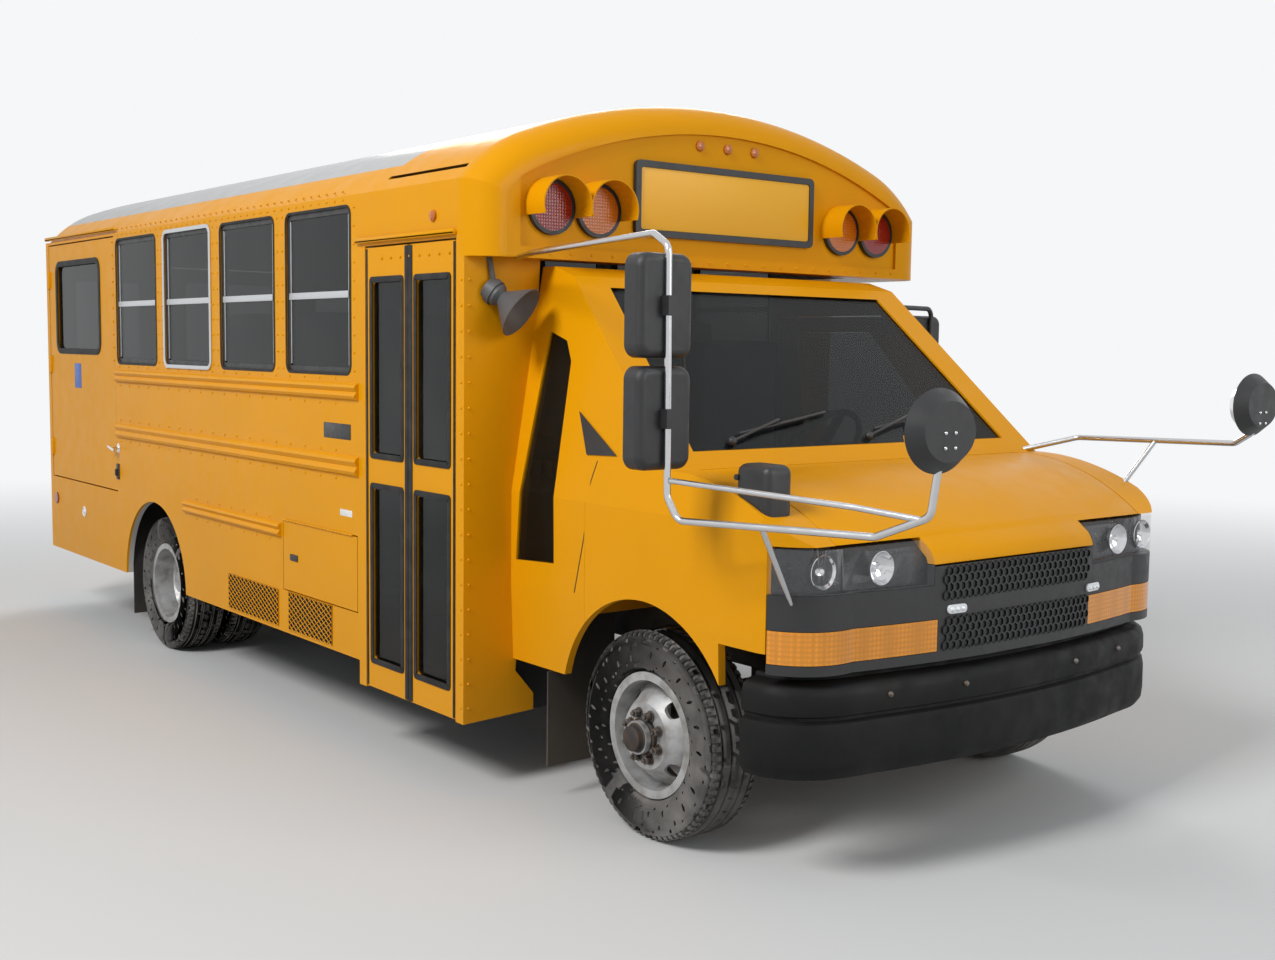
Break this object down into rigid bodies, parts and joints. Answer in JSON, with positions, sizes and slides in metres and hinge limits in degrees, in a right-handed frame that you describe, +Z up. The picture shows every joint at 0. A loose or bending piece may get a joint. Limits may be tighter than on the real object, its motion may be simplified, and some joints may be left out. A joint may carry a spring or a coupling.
{
  "type": "short school bus",
  "caption": "Short yellow school bus on a van cutaway chassis, with a folding entry door, a wide side lift door and dual rear wheels.",
  "frame": {"origin": "on the ground, on the centreline, at mid-length between the cross-view mirror and the rear bumper", "axes": "+X forward along the bus, +Y to its left, +Z up"},
  "size_m": [7.28, 2.7, 2.6898],
  "materials": {
    "yellow_paint": "gloss",
    "white_paint": "gloss",
    "black_paint": "satin",
    "black_plastic": "matte",
    "grey_plastic": "matte",
    "glass": "clear",
    "window_aluminium": "satin",
    "stainless": "polished",
    "tyre": "matte",
    "rubber": "matte",
    "wheel_black": "satin",
    "red_lens": "gloss",
    "amber_lens": "gloss",
    "clear_lens": "gloss",
    "red_paint": "gloss",
    "mirror": "mirror",
    "cast_iron": "rough",
    "floor_rubber": "ribbed",
    "vinyl": "grained",
    "grey_paint": "satin"
  },
  "bodies": {
    "bus_body": {"chassis_frame": "black_paint", "engine_block": "cast_iron", "suspension": "cast_iron", "rear_axle": "cast_iron", "floor": "floor_rubber", "right_side_wall": "yellow_paint", "left_side_wall": "yellow_paint", "rear_wall": "yellow_paint", "roof": "white_paint", "front_cap": "yellow_paint", "red_lamps": "red_lens", "amber_lamps": "amber_lens", "lamp_and_sign_bezels": "black_plastic", "bulkhead": "yellow_paint", "window_frames": "window_aluminium", "body_glass": "glass", "cab_shell": "yellow_paint", "cab_glass": "glass", "front_fenders": "yellow_paint", "grille": "black_plastic", "headlights": "clear_lens", "turn_lamps": "amber_lens", "front_bumper": "black_paint", "rear_bumper": "black_paint", "mirror_stands": "stainless", "mirror_housings": "black_plastic", "mirror_faces": "mirror", "horn_speaker": "grey_paint", "mudflaps": "rubber", "fuel_tank": "black_paint", "exhaust": "stainless", "dashboard": "grey_plastic", "seat_frames": "black_paint", "seat_cushions": "vinyl"},
    "knuckle_left": {"knuckle_left": "cast_iron"},
    "knuckle_right": {"knuckle_right": "cast_iron"},
    "front_wheel_left": {"front_rim_left": "wheel_black", "front_tyre_left": "tyre"},
    "front_wheel_right": {"front_rim_right": "wheel_black", "front_tyre_right": "tyre"},
    "rear_wheels_left": {"rear_rims_left": "wheel_black", "rear_tyres_left": "tyre"},
    "rear_wheels_right": {"rear_rims_right": "wheel_black", "rear_tyres_right": "tyre"},
    "entry_rear_leaf": {"entry_door_rear_leaf": "yellow_paint", "entry_glass_rear": "glass"},
    "entry_front_leaf": {"entry_door_front_leaf": "yellow_paint", "entry_glass_front": "glass"},
    "lift_door": {"lift_door": "yellow_paint", "lift_door_glass": "glass"},
    "rear_door": {"rear_door": "yellow_paint", "rear_door_glass": "glass"},
    "driver_door": {"driver_door": "yellow_paint", "driver_door_glass": "glass", "driver_mirror": "black_plastic"},
    "hood": {"hood": "yellow_paint"},
    "battery_door": {"battery_door": "yellow_paint"},
    "stop_arm": {"stop_arm": "red_paint"},
    "steering_wheel": {"steering_wheel": "black_plastic"}
  },
  "joints": [
    {"name": "steer_left", "type": "hinge", "parent": "bus_body", "child": "knuckle_left", "pos_m": [2.29, 0.79, 0.367], "axis": [0, 0, 1], "range_deg": [-32, 32]},
    {"name": "steer_right", "type": "hinge", "parent": "bus_body", "child": "knuckle_right", "pos_m": [2.29, -0.79, 0.367], "axis": [0, 0, 1], "range_deg": [-32, 32]},
    {"name": "steering_wheel_turn", "type": "hinge", "parent": "bus_body", "child": "steering_wheel", "pos_m": [1.715, 0.43, 1.29], "axis": [-0.8192, 0, 0.5736], "range_deg": [-512, 512]},
    {"name": "front_wheel_left_spin", "type": "hinge", "parent": "knuckle_left", "child": "front_wheel_left", "pos_m": [2.29, 0.874, 0.367], "axis": [0, 1, 0], "continuous": true},
    {"name": "front_wheel_right_spin", "type": "hinge", "parent": "knuckle_right", "child": "front_wheel_right", "pos_m": [2.29, -0.874, 0.367], "axis": [0, 1, 0], "continuous": true},
    {"name": "rear_wheels_left_spin", "type": "hinge", "parent": "bus_body", "child": "rear_wheels_left", "pos_m": [-1.749, 0.9345, 0.367], "axis": [0, 1, 0], "continuous": true},
    {"name": "rear_wheels_right_spin", "type": "hinge", "parent": "bus_body", "child": "rear_wheels_right", "pos_m": [-1.749, -0.9345, 0.367], "axis": [0, 1, 0], "continuous": true},
    {"name": "entry_rear_leaf_hinge", "type": "hinge", "parent": "bus_body", "child": "entry_rear_leaf", "pos_m": [0.726, -1.231, 1.2], "axis": [0, 0, -1], "range_deg": [0, 90]},
    {"name": "entry_front_leaf_hinge", "type": "hinge", "parent": "bus_body", "child": "entry_front_leaf", "pos_m": [1.426, -1.231, 1.2], "axis": [0, 0, 1], "range_deg": [0, 90]},
    {"name": "lift_door_hinge", "type": "hinge", "parent": "bus_body", "child": "lift_door", "pos_m": [-3.54, -1.231, 1.5], "axis": [0, 0, -1], "range_deg": [0, 110]},
    {"name": "rear_door_hinge", "type": "hinge", "parent": "bus_body", "child": "rear_door", "pos_m": [-3.61, -0.442, 1.5], "axis": [0, 0, 1], "range_deg": [0, 110]},
    {"name": "driver_door_hinge", "type": "hinge", "parent": "bus_body", "child": "driver_door", "pos_m": [1.965, 1.018, 1], "axis": [0, 0, -1], "range_deg": [0, 65]},
    {"name": "hood_hinge", "type": "hinge", "parent": "bus_body", "child": "hood", "pos_m": [2.432, 0, 1.3], "axis": [0, -1, 0], "range_deg": [0, 50]},
    {"name": "battery_door_hinge", "type": "hinge", "parent": "bus_body", "child": "battery_door", "pos_m": [0.29, -1.227, 0.892], "axis": [-1, 0, 0], "range_deg": [0, 90]},
    {"name": "stop_arm_hinge", "type": "hinge", "parent": "bus_body", "child": "stop_arm", "pos_m": [0.823, 1.259, 1.349], "axis": [0, 0, -1], "range_deg": [0, 90]}
  ],
  "couplings": [
    {"joint": "steer_right", "follows": "steer_left", "ratio": 1},
    {"joint": "steering_wheel_turn", "follows": "steer_left", "ratio": 16},
    {"joint": "entry_front_leaf_hinge", "follows": "entry_rear_leaf_hinge", "ratio": 1}
  ]
}
